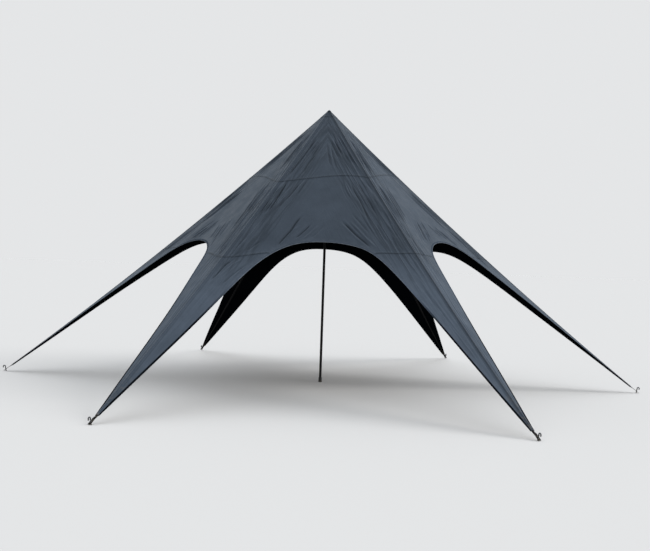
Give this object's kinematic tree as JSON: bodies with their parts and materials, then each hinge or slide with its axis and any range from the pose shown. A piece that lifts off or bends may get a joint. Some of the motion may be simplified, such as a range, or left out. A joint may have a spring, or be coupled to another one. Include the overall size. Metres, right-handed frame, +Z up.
{
  "type": "star tent",
  "caption": "Star tent: one continuous stretched canopy on a centre pole, drawn down in pointed arms to ground pegs, with a tall arch between each pair of arms.",
  "frame": {"origin": "ground level on the centre pole's axis", "axes": "+Z up along the pole, -Y out through the front arch, +X out along the right arm"},
  "size_m": [8.0886, 7.0062, 3.4398],
  "materials": {
    "canopy_fabric": "dark slate-grey coated polyester, faint weave, matt",
    "cap_fabric": "heavier dark grey coated fabric",
    "webbing": "black woven polyester webbing",
    "pole_steel": "satin black powder coat",
    "rubber": "matt black rubber",
    "peg_steel": "dull zinc-plated steel"
  },
  "bodies": {
    "root": {"pole_foot": "rubber", "pole_lower_section": "pole_steel", "pole_middle_section": "pole_steel", "pole_upper_section": "pole_steel", "pole_cap": "rubber", "peak_cap": "cap_fabric", "crown_panel_front": "canopy_fabric", "crown_panel_right_front": "canopy_fabric", "crown_panel_right_back": "canopy_fabric", "crown_panel_back": "canopy_fabric", "crown_panel_left_back": "canopy_fabric", "crown_panel_left_front": "canopy_fabric", "roof_panel_front": "canopy_fabric", "roof_panel_right_front": "canopy_fabric", "roof_panel_right_back": "canopy_fabric", "roof_panel_back": "canopy_fabric", "roof_panel_left_back": "canopy_fabric", "roof_panel_left_front": "canopy_fabric", "front_right_arm_panel_front_side": "canopy_fabric", "front_right_arm_panel_right_front_side": "canopy_fabric", "right_arm_panel_right_front_side": "canopy_fabric", "right_arm_panel_right_back_side": "canopy_fabric", "back_right_arm_panel_right_back_side": "canopy_fabric", "back_right_arm_panel_back_side": "canopy_fabric", "back_left_arm_panel_back_side": "canopy_fabric", "back_left_arm_panel_left_back_side": "canopy_fabric", "left_arm_panel_left_back_side": "canopy_fabric", "left_arm_panel_left_front_side": "canopy_fabric", "front_left_arm_panel_left_front_side": "canopy_fabric", "front_left_arm_panel_front_side": "canopy_fabric", "front_right_ridge_webbing": "webbing", "right_ridge_webbing": "webbing", "back_right_ridge_webbing": "webbing", "back_left_ridge_webbing": "webbing", "left_ridge_webbing": "webbing", "front_left_ridge_webbing": "webbing", "front_right_peg": "peg_steel", "right_peg": "peg_steel", "back_right_peg": "peg_steel", "back_left_peg": "peg_steel", "left_peg": "peg_steel", "front_left_peg": "peg_steel"}
  },
  "joints": []
}
